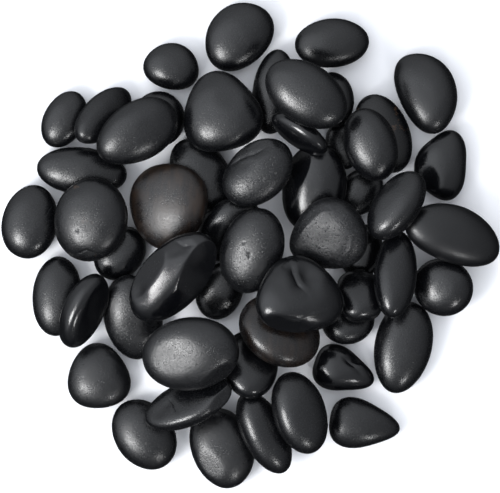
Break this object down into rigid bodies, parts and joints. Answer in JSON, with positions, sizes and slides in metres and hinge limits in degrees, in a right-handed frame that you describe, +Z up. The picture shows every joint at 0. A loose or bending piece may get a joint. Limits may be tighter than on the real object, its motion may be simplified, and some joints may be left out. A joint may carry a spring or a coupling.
{
  "type": "basalt massage stones",
  "caption": "Heap of loose polished black basalt massage stones, smooth rounded pebbles resting on one another.",
  "frame": {"origin": "middle of the heap's bounding box in plan, on the surface it lies on", "axes": "+Z straight up from the surface; +X along the heap's longest extent, to the right as the heap is seen from above with +Y away"},
  "size_m": [0.3742, 0.3654, 0.082],
  "materials": {
    "polished_basalt": "near-black, polished to a satin gloss",
    "satin_basalt": "near-black, satin",
    "grainy_basalt": "near-black with a fine open grain, worn smooth",
    "brown_basalt": "brown-black with a fine grain, satin"
  },
  "bodies": {
    "heap": {"upper_left_covered_round": "polished_basalt", "left_long_oval": "polished_basalt", "left_small_round": "polished_basalt", "upper_middle_covered_oval": "polished_basalt", "center_dark_oval": "polished_basalt", "center_small_egg": "polished_basalt", "lower_left_long_oval": "polished_basalt", "upper_right_covered_dark": "polished_basalt", "upper_right_covered_oval": "polished_basalt", "upper_middle_upright_oval": "polished_basalt", "right_covered_small": "polished_basalt", "center_right_covered": "polished_basalt", "right_lower_small_round": "polished_basalt", "bottom_long_oval": "polished_basalt", "bottom_middle_dark": "polished_basalt", "brown_lower_middle": "brown_basalt", "right_lower_squarish": "polished_basalt", "right_upright_oval": "polished_basalt", "ridged_long_stone": "polished_basalt", "center_top_oval": "polished_basalt"},
    "upper_left_rim_oval": {"upper_left_rim_oval": "polished_basalt"},
    "left_rim_oval": {"left_rim_oval": "polished_basalt"},
    "left_lower_rim_oval": {"left_lower_rim_oval": "polished_basalt"},
    "left_rim_triangle": {"left_rim_triangle": "polished_basalt"},
    "bottom_left_rim_oval": {"bottom_left_rim_oval": "polished_basalt"},
    "bottom_rim_oval": {"bottom_rim_oval": "polished_basalt"},
    "lower_right_rim_oval": {"lower_right_rim_oval": "polished_basalt"},
    "lower_right_teardrop": {"lower_right_teardrop": "polished_basalt"},
    "grooved_nose_stone": {"grooved_nose_stone": "satin_basalt"},
    "right_small_triangle": {"right_small_triangle": "polished_basalt"},
    "right_upper_kidney": {"right_upper_kidney": "polished_basalt"},
    "top_right_rim_oval": {"top_right_rim_oval": "polished_basalt"},
    "upper_small_round": {"upper_small_round": "polished_basalt"},
    "upper_left_long_oval": {"upper_left_long_oval": "polished_basalt"},
    "bottom_right_oval": {"bottom_right_oval": "polished_basalt"},
    "right_rim_round": {"right_rim_round": "polished_basalt"},
    "right_big_kidney": {"right_big_kidney": "polished_basalt"},
    "right_sloping_oval": {"right_sloping_oval": "polished_basalt"},
    "brown_spotted_oval": {"brown_spotted_oval": "polished_basalt"},
    "right_middle_oval": {"right_middle_oval": "polished_basalt"},
    "edge_on_lens": {"edge_on_lens": "polished_basalt"},
    "upper_right_big_oval": {"upper_right_big_oval": "polished_basalt"},
    "top_rim_egg": {"top_rim_egg": "polished_basalt"},
    "upper_large_triangle": {"upper_large_triangle": "polished_basalt"},
    "upper_left_big_egg": {"upper_left_big_egg": "polished_basalt"},
    "left_large_pitted_round": {"left_large_pitted_round": "polished_basalt"},
    "brown_left_round": {"brown_left_round": "brown_basalt"},
    "lower_left_lens": {"lower_left_lens": "polished_basalt"},
    "rolled_flat_stone": {"rolled_flat_stone": "polished_basalt"},
    "rough_faceted_stone": {"rough_faceted_stone": "grainy_basalt"},
    "granular_tailed_stone": {"granular_tailed_stone": "grainy_basalt"},
    "lower_left_big_bright": {"lower_left_big_bright": "polished_basalt"},
    "long_dented_stone": {"long_dented_stone": "polished_basalt"},
    "top_dented_triangle": {"top_dented_triangle": "polished_basalt"}
  },
  "joints": [
    {"name": "upper_left_rim_oval_draw", "type": "slide", "parent": "heap", "child": "upper_left_rim_oval", "axis": [-0.8192, 0.5736, 0], "range_m": [0, 0.08]},
    {"name": "left_rim_oval_draw", "type": "slide", "parent": "heap", "child": "left_rim_oval", "axis": [-0.9962, 0.0872, 0], "range_m": [0, 0.08]},
    {"name": "left_lower_rim_oval_draw", "type": "slide", "parent": "heap", "child": "left_lower_rim_oval", "axis": [-0.9659, -0.2588, 0], "range_m": [0, 0.08]},
    {"name": "left_rim_triangle_lift", "type": "slide", "parent": "heap", "child": "left_rim_triangle", "axis": [0, 0, 1], "range_m": [0, 0.1]},
    {"name": "bottom_left_rim_oval_draw", "type": "slide", "parent": "heap", "child": "bottom_left_rim_oval", "axis": [-0.5, -0.866, 0], "range_m": [0, 0.08]},
    {"name": "bottom_rim_oval_draw", "type": "slide", "parent": "heap", "child": "bottom_rim_oval", "axis": [-0.1736, -0.9848, 0], "range_m": [0, 0.08]},
    {"name": "lower_right_rim_oval_draw", "type": "slide", "parent": "heap", "child": "lower_right_rim_oval", "axis": [0.7071, -0.7071, 0], "range_m": [0, 0.08]},
    {"name": "lower_right_teardrop_lift", "type": "slide", "parent": "heap", "child": "lower_right_teardrop", "axis": [0, 0, 1], "range_m": [0, 0.1]},
    {"name": "grooved_nose_stone_lift", "type": "slide", "parent": "heap", "child": "grooved_nose_stone", "axis": [0, 0, 1], "range_m": [0, 0.1]},
    {"name": "right_small_triangle_draw", "type": "slide", "parent": "heap", "child": "right_small_triangle", "axis": [0.9397, 0.342, 0], "range_m": [0, 0.08]},
    {"name": "right_upper_kidney_lift", "type": "slide", "parent": "heap", "child": "right_upper_kidney", "axis": [0, 0, 1], "range_m": [0, 0.1]},
    {"name": "top_right_rim_oval_lift", "type": "slide", "parent": "heap", "child": "top_right_rim_oval", "axis": [0, 0, 1], "range_m": [0, 0.1]},
    {"name": "upper_small_round_lift", "type": "slide", "parent": "heap", "child": "upper_small_round", "axis": [0, 0, 1], "range_m": [0, 0.1]},
    {"name": "upper_left_long_oval_lift", "type": "slide", "parent": "heap", "child": "upper_left_long_oval", "axis": [0, 0, 1], "range_m": [0, 0.1]},
    {"name": "bottom_right_oval_lift", "type": "slide", "parent": "heap", "child": "bottom_right_oval", "axis": [0, 0, 1], "range_m": [0, 0.1]},
    {"name": "right_rim_round_draw", "type": "slide", "parent": "heap", "child": "right_rim_round", "axis": [0.866, -0.5, 0], "range_m": [0, 0.08]},
    {"name": "right_big_kidney_lift", "type": "slide", "parent": "heap", "child": "right_big_kidney", "axis": [0, 0, 1], "range_m": [0, 0.1]},
    {"name": "right_sloping_oval_lift", "type": "slide", "parent": "right_big_kidney", "child": "right_sloping_oval", "axis": [0, 0, 1], "range_m": [0, 0.1]},
    {"name": "brown_spotted_oval_lift", "type": "slide", "parent": "heap", "child": "brown_spotted_oval", "axis": [0, 0, 1], "range_m": [0, 0.1]},
    {"name": "right_middle_oval_lift", "type": "slide", "parent": "brown_spotted_oval", "child": "right_middle_oval", "axis": [0, 0, 1], "range_m": [0, 0.1]},
    {"name": "edge_on_lens_lift", "type": "slide", "parent": "heap", "child": "edge_on_lens", "axis": [0, 0, 1], "range_m": [0, 0.1]},
    {"name": "upper_right_big_oval_lift", "type": "slide", "parent": "edge_on_lens", "child": "upper_right_big_oval", "axis": [0, 0, 1], "range_m": [0, 0.1]},
    {"name": "top_rim_egg_lift", "type": "slide", "parent": "heap", "child": "top_rim_egg", "axis": [0, 0, 1], "range_m": [0, 0.1]},
    {"name": "upper_large_triangle_lift", "type": "slide", "parent": "heap", "child": "upper_large_triangle", "axis": [0, 0, 1], "range_m": [0, 0.1]},
    {"name": "upper_left_big_egg_lift", "type": "slide", "parent": "upper_left_long_oval", "child": "upper_left_big_egg", "axis": [0, 0, 1], "range_m": [0, 0.1]},
    {"name": "left_large_pitted_round_lift", "type": "slide", "parent": "heap", "child": "left_large_pitted_round", "axis": [0, 0, 1], "range_m": [0, 0.1]},
    {"name": "brown_left_round_lift", "type": "slide", "parent": "heap", "child": "brown_left_round", "axis": [0, 0, 1], "range_m": [0, 0.1]},
    {"name": "lower_left_lens_lift", "type": "slide", "parent": "heap", "child": "lower_left_lens", "axis": [0, 0, 1], "range_m": [0, 0.1]},
    {"name": "rolled_flat_stone_lift", "type": "slide", "parent": "heap", "child": "rolled_flat_stone", "axis": [0, 0, 1], "range_m": [0, 0.1]},
    {"name": "rough_faceted_stone_lift", "type": "slide", "parent": "heap", "child": "rough_faceted_stone", "axis": [0, 0, 1], "range_m": [0, 0.1]},
    {"name": "granular_tailed_stone_lift", "type": "slide", "parent": "heap", "child": "granular_tailed_stone", "axis": [0, 0, 1], "range_m": [0, 0.1]},
    {"name": "lower_left_big_bright_lift", "type": "slide", "parent": "lower_left_lens", "child": "lower_left_big_bright", "axis": [0, 0, 1], "range_m": [0, 0.1]},
    {"name": "long_dented_stone_lift", "type": "slide", "parent": "brown_left_round", "child": "long_dented_stone", "axis": [0, 0, 1], "range_m": [0, 0.1]},
    {"name": "top_dented_triangle_lift", "type": "slide", "parent": "granular_tailed_stone", "child": "top_dented_triangle", "axis": [0, 0, 1], "range_m": [0, 0.1]}
  ]
}
